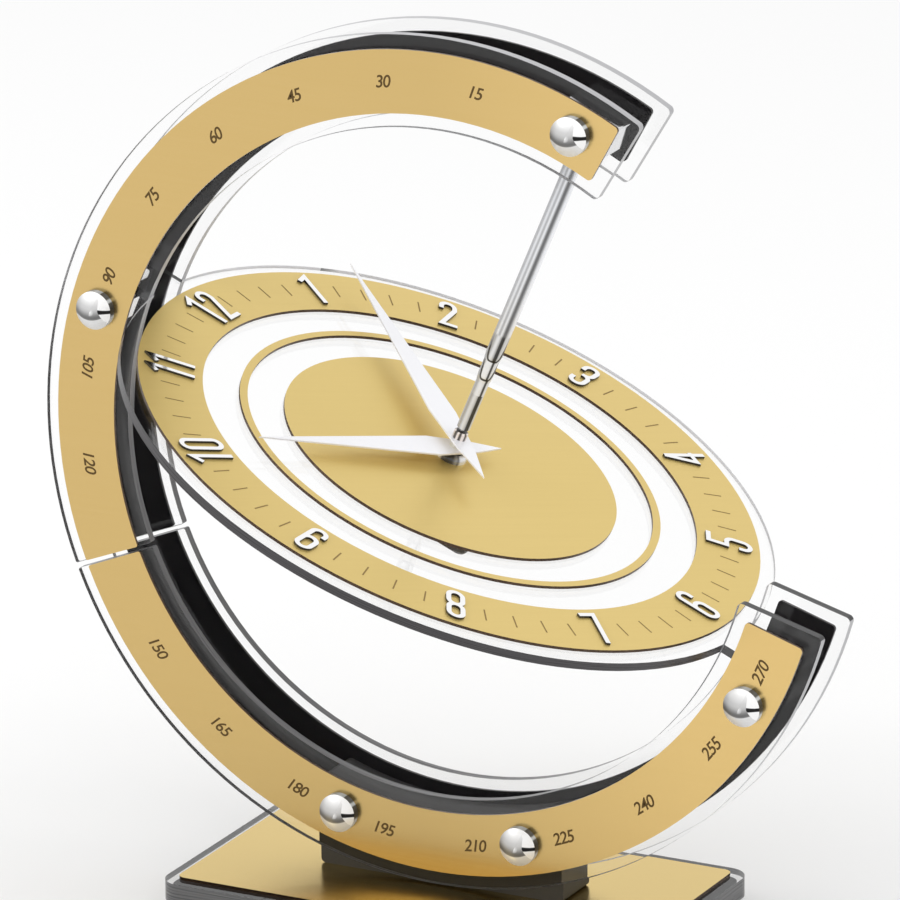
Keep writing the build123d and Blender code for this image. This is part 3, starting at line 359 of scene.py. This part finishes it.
level_on_dial = (three_way - twelve_way * 0.547).normalized()
dial_grain = (level_on_dial, rod_way.cross(level_on_dial), rod_way)
dial_gold = brushed_gold("dial_gold", (0.68, 0.50, 0.16), (0.74, 0.56, 0.195), dial_grain, 0.6, 0.3)
# The ring's panels take a darker copy of the same gold, painted shade, and painted light brightens them towards the
# right.
ring_gold = brushed_gold("ring_gold", (0.60, 0.42, 0.16), (0.65, 0.465, 0.195), ring_way, 1.0, 0.2, 1.2)
base_gold = brushed_gold("base_gold", (0.68, 0.49, 0.165), (0.74, 0.55, 0.2), base_way)
finish(base_gold, "base_panel")
finish(ring_gold, "gold_panel_upper", "gold_panel_lower")
finish(dial_gold, "hour_ring", "thin_ring", "inner_disc")

# The dark panels of the rear plates. The same sheet in gloss black,
# with a faint grain that only shows where light skims it.
black_sheet = moulded("black_sheet", (0.011, 0.010, 0.011), (0.022, 0.020, 0.022), 0.0007, 0.000002, 0.3, 0.45)
finish(black_sheet, "black_panel_upper", "black_panel_lower")


# The degree numbers. Dark brown figures printed along the middle of the ring's gold panels, every
# fifteen degrees from the rod; those of the upper part stand with their tops outwards.
def new_piece(name, points, faces, materials, body, smooth=False):
    """A new piece from its points in metres, riding on a body, with the given materials."""
    mesh = bpy.data.meshes.new(name)
    mesh.from_pydata(np.asarray(points).tolist(), [], np.asarray(faces).tolist() if isinstance(faces, np.ndarray) else faces)
    mesh.polygons.foreach_set("use_smooth", [smooth] * len(mesh.polygons))
    for material in materials:
        mesh.materials.append(material)
    piece = bpy.data.objects.new(name, mesh)
    bpy.context.scene.collection.objects.link(piece)
    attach(piece, body)
    return piece


def written(words, height, slant):
    """The outline faces of a line of text laid flat, centred on nothing, with the given height of a capital."""
    curve = bpy.data.curves.new("figures", "FONT")
    curve.body = words
    curve.shear = slant
    curve.align_x = "CENTER"
    curve.space_character = 0.9
    curve.offset = 0.012
    curve.resolution_u = 6
    curve.extrude = 0.0
    holder = bpy.data.objects.new("figures", curve)
    bpy.context.scene.collection.objects.link(holder)
    bpy.context.view_layer.update()
    mesh = bpy.data.meshes.new_from_object(holder.evaluated_get(bpy.context.evaluated_depsgraph_get()))
    points = np.zeros(len(mesh.vertices) * 3)
    mesh.vertices.foreach_get("co", points)
    points = points.reshape(-1, 3)[:, :2]
    faces = [tuple(face.vertices) for face in mesh.polygons]
    bpy.data.objects.remove(holder)
    bpy.data.curves.remove(curve)
    bpy.data.meshes.remove(mesh)
    middle = (points.min(0) + points.max(0)) / 2
    size = points[:, 1].max() - points[:, 1].min()
    return (points - middle) * (height / size), faces


number_radius = 0.1493
number_height = 0.0049
panel_face = 0.01574
ink, nodes, links, shader = coating("brown_ink", Roughness=0.7, Specular_IOR_Level=0.1)
ink_noise = speckle(nodes, links, 0.0004)
links.new(spread(nodes, links, ink_noise, (0.085, 0.05, 0.016), (0.14, 0.09, 0.035)), shader.inputs["Base Color"])
for part, angles in (("upper", range(15, 135, 15)), ("lower", range(150, 285, 15))):
    points, faces, count = [], [], 0
    for angle in angles:
        flat, shapes = written(str(angle), number_height, 0.22)
        around = np.radians(angle + (0.7 if part == "upper" else 0.4 - (angle - 150) * 0.0079))
        outward = np.array(rod_way) * np.cos(around) + np.array(twelve_way) * np.sin(around)
        upward = outward if angle <= 105 else -outward
        rightward = np.cross(upward, (0, -1, 0))
        origin = np.array(ring_centre) + outward * number_radius + np.array((0, -panel_face, 0))
        points.append(origin + flat[:, :1] * rightward + flat[:, 1:] * upward)
        faces += [tuple(i + count for i in shape) for shape in shapes]
        count += len(flat)
    new_piece("degree_numbers_" + part, np.vstack(points), faces, [ink], "root")

# The minute marks. Short fine lines printed on the hour ring, four between each two numerals.
# They are laid along the radius, a little nearer the rim's middle than the figures.
mark_ink, nodes, links, shader = coating("pale_brown_ink", Roughness=0.7, Specular_IOR_Level=0.1)
ink_noise = speckle(nodes, links, 0.0005)
links.new(spread(nodes, links, ink_noise, (0.20, 0.135, 0.05), (0.32, 0.22, 0.085)), shader.inputs["Base Color"])
mark_radius = 0.1126
mark_length = 0.0075
mark_width = 0.0006
minutes = np.array([m for m in range(60) if m % 5])
turns = np.radians(minutes * 6)[:, None, None]
corner_out = np.array([-1, 1, 1, -1])[None, :, None] * mark_length / 2 + mark_radius
corner_side = np.array([-1, -1, 1, 1])[None, :, None] * mark_width / 2
out_way = np.array(twelve_way) * np.cos(turns) + np.array(three_way) * np.sin(turns)
side_way = np.array(three_way) * np.cos(turns) - np.array(twelve_way) * np.sin(turns)
marks = np.array(ring_centre) + out_way * corner_out - side_way * corner_side + np.array(rod_way) * 0.00004
mark_faces = np.arange(len(minutes) * 4).reshape(-1, 4)
new_piece("minute_marks", marks.reshape(-1, 3), mark_faces, [mark_ink], "root")

# The numerals. Figures cut from black acrylic with a silver mirror face, glued to the hour ring.
# Only the face is bright; the cut sides are black.
mirror, nodes, links, shader = coating("numeral_mirror")
numeral_side = cut_edge(nodes, links, rod_way)
face_noise = speckle(nodes, links, 0.002)
tone = nodes.new("ShaderNodeMix")
tone.data_type = "RGBA"
links.new(numeral_side, tone.inputs["Factor"])
links.new(spread(nodes, links, face_noise, (0.93, 0.93, 0.94), (0.97, 0.97, 0.97)), tone.inputs[6])
tone.inputs[7].default_value = (0.012, 0.012, 0.014, 1)
links.new(tone.outputs[2], shader.inputs["Base Color"])
links.new(spread(nodes, links, numeral_side, 1.0, 0.0), shader.inputs["Metallic"])
links.new(spread(nodes, links, numeral_side, 0.06, 0.35), shader.inputs["Roughness"])
finish(mirror, *["numeral_%02d" % hour for hour in range(1, 13)])


# The bright metal. The rod, the caps, the blocks and the nut on the dial are steel,
# polished and chromed; the small screws are plain zinc plated steel.
def plated(name, dark, light, grain, rough_low, rough_high):
    """Bare metal whose tint and gloss follow one fine noise."""
    material, nodes, links, shader = coating(name, Metallic=1.0)
    noise = speckle(nodes, links, grain)
    links.new(spread(nodes, links, noise, dark, light), shader.inputs["Base Color"])
    links.new(spread(nodes, links, noise, rough_low, rough_high), shader.inputs["Roughness"])
    return material


def tone_steps(nodes, links, value, steps):
    """A grey that follows a value through (value, grey) pairs, each grey given as it looks, from 0 to 255."""
    first, last = steps[0][0], steps[-1][0]
    mapped = nodes.new("ShaderNodeMapRange")
    links.new(value, mapped.inputs["Value"])
    mapped.inputs["From Min"].default_value = first
    mapped.inputs["From Max"].default_value = last
    ramp = nodes.new("ShaderNodeValToRGB")
    links.new(mapped.outputs["Result"], ramp.inputs["Fac"])
    marks = ramp.color_ramp.elements
    for place, (at, grey) in enumerate(steps):
        mark = marks[place] if place < 1 else marks.new((at - first) / (last - first))
        mark.position = (at - first) / (last - first)
        mark.color = ((grey / 255) ** 2.2,) * 3 + (1,)
    marks.remove(marks[-1])
    return ramp.outputs["Color"]


def turn_round(nodes, links, ahead_way, side_way):
    """The direction that the surface faces round an axis, in degrees from the way ahead towards the side."""
    side, ahead = facing(nodes, links, side_way), facing(nodes, links, ahead_way)
    turned = joined(nodes, links, "ShaderNodeMath", side, ahead, operation="ARCTAN2")
    return joined(nodes, links, "ShaderNodeMath", turned, operation="DEGREES")


def banded(name, ahead_way, side_way, steps, metal, rough, tint, ends=None, nose=None):
    """Polished metal with painted reflections: light and dark bands that follow the angle round its axis. ends gives
    other painted bands for the stretch between two heights along the rod. nose draws the painted dark outline of a
    rounded
    end: it rises from its lowest height by 3 mm times the sixth power of the place across the tube over 0.8 of its
    radius."""
    material, nodes, links, shader = coating(name, Metallic=metal)
    angle = turn_round(nodes, links, ahead_way, side_way)
    tone = tone_steps(nodes, links, angle, steps)

    def sum_of(operation, *values):
        return joined(nodes, links, "ShaderNodeMath", *values, operation=operation)

    if ends:
        low, high, other_steps = ends
        over_low = sum_of("GREATER_THAN", lit_side(nodes, links, rod_way, low, low + 0.001), 0.5)
        inside = sum_of("MULTIPLY", over_low, lit_side(nodes, links, rod_way, high + 0.001, high))
        tone = blended(nodes, links, inside, tone, tone_steps(nodes, links, angle, other_steps))
    if nose:
        lowest, below_steps = nose
        across = sum_of("ABSOLUTE", sum_of("SUBTRACT", facing(nodes, links, side_way), 0.1))
        share = sum_of("MINIMUM", sum_of("DIVIDE", across, 0.8), 1.25)
        rise = sum_of("MULTIPLY", sum_of("POWER", share, 6.0), 3.0)
        height = lit_side(nodes, links, rod_way, lowest, lowest + 0.001, False)
        slope = sum_of("MULTIPLY", sum_of("POWER", share, 5.0), 6.8)
        length = sum_of("SQRT", sum_of("ADD", sum_of("POWER", slope, 2.0), 1.0))
        outline = sum_of("DIVIDE", sum_of("SUBTRACT", height, rise), length)
        below = tone_steps(nodes, links, angle, below_steps)
        tone = blended(nodes, links, sum_of("GREATER_THAN", outline, 0.0), below, tone)
        line = tone_steps(nodes, links, outline, [(-1, 255), (-0.35, 255), (-0.1, 75), (0.5, 75), (0.85, 255), (1, 255)])
        line = blended(nodes, links, lit_side(nodes, links, rod_way, lowest + 0.005, lowest + 0.012), line, (1, 1, 1))
        tone = joined(nodes, links, "ShaderNodeVectorMath", tone, line, operation="MULTIPLY")
    links.new(joined(nodes, links, "ShaderNodeVectorMath", tone, tint, operation="MULTIPLY"), shader.inputs["Base Color"])
    fine = speckle(nodes, links, 0.0006)
    links.new(spread(nodes, links, fine, rough, rough + 0.1), shader.inputs["Roughness"])
    return material


chrome = plated("chrome", (0.66, 0.66, 0.67), (0.80, 0.80, 0.81), 0.004, 0.05, 0.1)
finish(chrome, "rod_block")
# The rod's tubes carry painted reflections: light and dark bands round the rod, other bands near their ends, and a
# painted dark outline round each rounded end.
rod_front = Vector((0.290, -0.948, -0.126))
rod_side = Vector((0.870, 0.316, -0.376))
outer_steps = [(-180, 170), (-150, 235), (-120, 120), (-90, 180)]
back_steps = [(80, 250), (100, 150), (130, 235), (160, 130), (180, 170)]
wide_steps = [(-62, 178), (-47, 190), (-38, 230), (-30, 228), (-22, 184), (-16, 180), (-9, 228), (-3, 248), (4, 205)]
wide_steps += [(11, 130), (18, 108), (25, 120), (32, 168), (41, 225), (51, 250), (64, 254)]
wide_end = [(-62, 185), (-44, 168), (-36, 166), (-28, 204), (-21, 234), (-14, 244), (-7, 232), (-1, 204), (5, 165)]
wide_end += [(9, 70), (27, 55), (31, 150), (35, 215), (52, 235), (64, 208)]
middle_steps = [(-62, 180), (-51, 176), (-41, 204), (-32, 236), (-23, 250), (0, 254), (13, 240), (17, 85), (30, 80)]
middle_steps += [(35, 235), (49, 248), (62, 254)]
thin_end = [(-62, 185), (-48, 172), (-36, 184), (-27, 222), (-18, 242), (-9, 252), (12, 250), (20, 225), (25, 80)]
thin_end += [(40, 75), (46, 225), (59, 244), (75, 252)]
thin_steps = [(-62, 185), (-48, 160), (-36, 170), (-27, 208), (-18, 234), (-9, 238), (0, 228), (9, 205), (14, 180)]
thin_steps += [(18, 68), (48, 58), (53, 180), (60, 225), (75, 232)]
silver = (0.93, 0.95, 1.0)
wide_tube = banded("wide_tube", rod_front, rod_side, outer_steps + wide_steps + back_steps, 0.15, 0.2, silver,
                   (middle + 0.038, middle + 0.0556, outer_steps + wide_end + back_steps),
                   (middle + 0.0445, outer_steps + middle_steps + back_steps))
middle_tube = banded("middle_tube", rod_front, rod_side, outer_steps + middle_steps + back_steps, 0.15, 0.2, silver,
                     None, (middle + 0.0361, outer_steps + thin_end + back_steps))
thin_tube = banded("thin_tube", rod_front, rod_side, outer_steps + thin_steps + back_steps, 0.15, 0.2, silver,
                   (middle + 0.0285, middle + 0.045, outer_steps + thin_end + back_steps))
finish(wide_tube, "rod_upper")
finish(middle_tube, "rod_middle")
finish(thin_tube, "rod_lower")
# The fixing nut's light and dark bands are painted reflections too.
nut_steps = [(-180, 150), (-100, 210), (-75, 245), (-40, 240), (-30, 120), (-12, 70), (10, 80), (24, 160), (34, 110)]
nut_steps += [(44, 235), (85, 245), (120, 120), (180, 150)]
finish(banded("nut_chrome", rod_front, rod_side, nut_steps, 0.4, 0.12, silver), "fixing_nut")

# The blocks that carry the dial. Sawn from steel bar, ground and chromed; their colour is a painted reflection: the
# half near the front plate is painted white and glows a little though it is no lamp, the other half is painted dark,
# and a painted dark band crosses the bright half.
block_painted_reflection, nodes, links, shader = coating("block_painted_reflection")
block_reflection_steps = [(-0.032, 60), (-0.0234, 60), (-0.023, 240), (-0.0142, 240), (-0.0138, 48), (-0.0078, 48), (-0.0074, 236), (0, 236)]
height = lit_side(nodes, links, rod_way, middle, middle + 1, False)
near = tone_steps(nodes, links, height, block_reflection_steps)
painted_dark_rear = lit_side(nodes, links, three_way, 0.0072, 0.0078)
links.new(blended(nodes, links, painted_dark_rear, near, (0.045, 0.044, 0.05)), shader.inputs["Base Color"])
links.new(spread(nodes, links, speckle(nodes, links, 0.004), 0.1, 0.16), shader.inputs["Roughness"])
links.new(spread(nodes, links, painted_dark_rear, 0.1, 0.3), shader.inputs["Metallic"])
links.new(near, shader.inputs["Emission Color"])
links.new(spread(nodes, links, painted_dark_rear, 0.5, 0.0), shader.inputs["Emission Strength"])
finish(block_painted_reflection, "lug_block_twelve", "lug_block_six")

# The caps. Domed heads turned from steel and chromed; their colour is a painted reflection: the dome shows a painted
# bright sweep, a grey band with a sharp lower border and a short black bar, and the side has painted light and dark
# bands all round.
cap_painted_reflection, nodes, links, shader = coating("cap_painted_reflection", Specular_IOR_Level=0.25)
across = joined(nodes, links, "ShaderNodeMath", facing(nodes, links, (1, 0, 0)), 10.9, operation="MULTIPLY")
upward = joined(nodes, links, "ShaderNodeMath", facing(nodes, links, (0, 0, 1)), 10.9, operation="MULTIPLY")
from_left = joined(nodes, links, "ShaderNodeMath", across, 0.5, operation="ADD")
squared = joined(nodes, links, "ShaderNodeMath", from_left, 2.0, operation="POWER")
curved = joined(nodes, links, "ShaderNodeMath", squared, 0.047, operation="MULTIPLY")
border = joined(nodes, links, "ShaderNodeMath", curved, 3.2, operation="SUBTRACT")
above = joined(nodes, links, "ShaderNodeMath", upward, border, operation="SUBTRACT")
painted_sweep_steps = [(-0.25, 226), (0.1, 125), (0.8, 108), (1.5, 124), (2.3, 152), (3.3, 184), (4.4, 203), (5.5, 210), (9, 214)]
painted_sweep = tone_steps(nodes, links, above, painted_sweep_steps)
left_shade = tone_steps(nodes, links, across, [(-11, 175), (-7.5, 215), (-4, 245), (0, 255)])
painted_sweep = joined(nodes, links, "ShaderNodeVectorMath", painted_sweep, left_shade, operation="MULTIPLY")
rightward = joined(nodes, links, "ShaderNodeMath", across, 3.2, operation="SUBTRACT")
taper = joined(nodes, links, "ShaderNodeMath", joined(nodes, links, "ShaderNodeMath", rightward, 0.12, operation="MULTIPLY"),
               1.0, operation="ADD")
from_bar = joined(nodes, links, "ShaderNodeMath", joined(nodes, links, "ShaderNodeMath", upward, 0.4, operation="SUBTRACT"),
                  taper, operation="MULTIPLY")
painted_bar_steps = [(-1.15, 250), (-0.85, 30), (0.2, 20), (0.75, 45), (1.0, 252), (6, 252)]
bar = tone_steps(nodes, links, from_bar, painted_bar_steps)
below_bar = joined(nodes, links, "ShaderNodeMath", from_bar, 0.0, operation="MINIMUM")
lean = joined(nodes, links, "ShaderNodeMath", joined(nodes, links, "ShaderNodeMath", below_bar, 0.47, operation="MULTIPLY"),
              rightward, operation="ADD")
right_part = joined(nodes, links, "ShaderNodeMath", lean, 0.0, operation="GREATER_THAN")
dome = blended(nodes, links, right_part, painted_sweep, bar)
cap_side_reflection_steps = [(-180, 215), (-150, 90), (-120, 200), (-50, 232), (-30, 235), (-16, 228), (-10, 150), (-6, 75), (0, 58)]
cap_side_reflection_steps += [(12, 62), (22, 84), (27, 92), (31, 236), (37, 242), (42, 100), (50, 110), (62, 85), (70, 190), (85, 205)]
cap_side_reflection_steps += [(100, 150), (120, 190), (150, 110), (180, 215)]
band = tone_steps(nodes, links, turn_round(nodes, links, (1, 0, 0), (0, 0, 1)), cap_side_reflection_steps)
band = joined(nodes, links, "ShaderNodeVectorMath", band, (0.80, 0.90, 1.05), operation="MULTIPLY")
on_side = cut_edge(nodes, links, (0, 1, 0))
links.new(blended(nodes, links, on_side, dome, band), shader.inputs["Base Color"])
links.new(spread(nodes, links, on_side, 0.25, 0.05), shader.inputs["Metallic"])
links.new(spread(nodes, links, speckle(nodes, links, 0.003), 0.28, 0.36), shader.inputs["Roughness"])
finish(cap_painted_reflection, "cap_screws_front", "cap_screws_rear")

zinc = plated("zinc_steel", (0.52, 0.53, 0.55), (0.66, 0.67, 0.69), 0.0005, 0.22, 0.38)
finish(zinc, "lug_screws", "case_screws", "base_screws")
powder = moulded("black_powder", (0.02, 0.02, 0.021), (0.035, 0.035, 0.036), 0.0009, 0.00006, 0.45, 0.6)
finish(powder, "foot_block")

# The movement. A black moulded case with a lid, and inside it white gears, a motor with its iron
# and copper coil, a small green board, and the battery between two sprung contacts.
black_plastic = moulded("black_plastic", (0.018, 0.018, 0.019), (0.03, 0.03, 0.031), 0.0005, 0.00003, 0.42, 0.58)
finish(black_plastic, "movement_case", "movement_cover", "gear_bridge", "setting_knob")
white_plastic = moulded("gear_plastic", (0.78, 0.76, 0.68), (0.86, 0.85, 0.79), 0.0012, 0.00001, 0.35, 0.5)
finish(white_plastic, "minute_arbor", "hour_wheel", "motion_wheel", "third_wheel", "rotor")
wire = plated("copper_wire", (0.55, 0.22, 0.10), (0.80, 0.42, 0.22), 0.0002, 0.3, 0.45)
finish(wire, "coil")
iron = plated("motor_iron", (0.36, 0.36, 0.37), (0.50, 0.50, 0.51), 0.0006, 0.32, 0.5)
finish(iron, "stator")
lacquer = moulded("board_lacquer", (0.03, 0.16, 0.06), (0.05, 0.24, 0.09), 0.0009, 0.00002, 0.2, 0.35)
finish(lacquer, "circuit_board")
jacket = moulded("battery_jacket", (0.07, 0.075, 0.085), (0.11, 0.115, 0.125), 0.003, 0.00001, 0.22, 0.32)
finish(jacket, "battery")
spring = plated("contact_spring", (0.62, 0.62, 0.60), (0.74, 0.74, 0.72), 0.0007, 0.2, 0.32)
finish(spring, "contact_plus", "contact_minus")

# The hands. Satin white aluminium, cut thin and riveted to their collars,
# and held by a small turned brass nut.
satin, nodes, links, shader = coating("satin_aluminium", Metallic=0.3)
grain = speckle(nodes, links, 0.0005)
links.new(spread(nodes, links, grain, (0.84, 0.84, 0.87), (0.90, 0.90, 0.92)), shader.inputs["Base Color"])
links.new(spread(nodes, links, grain, 0.38, 0.5), shader.inputs["Roughness"])
finish(satin, "hour_hand", "minute_hand")
# The hand nut's light and dark facets are painted reflections, bands round the rod's axis.
brass_steps = [(-180, 235), (-150, 215), (-128, 90), (-100, 60), (-82, 230), (-62, 215), (-52, 110), (-42, 60), (-30, 110), (-24, 235)]
brass_steps += [(-12, 240), (-6, 120), (2, 66), (10, 120), (16, 236), (34, 244), (40, 130), (48, 70), (56, 130), (64, 232)]
brass_steps += [(90, 238), (110, 80), (140, 70), (150, 210), (180, 235)]
finish(banded("turned_brass", rod_front, rod_side, brass_steps, 0.15, 0.2, (0.98, 0.88, 0.82)), "hand_nut")
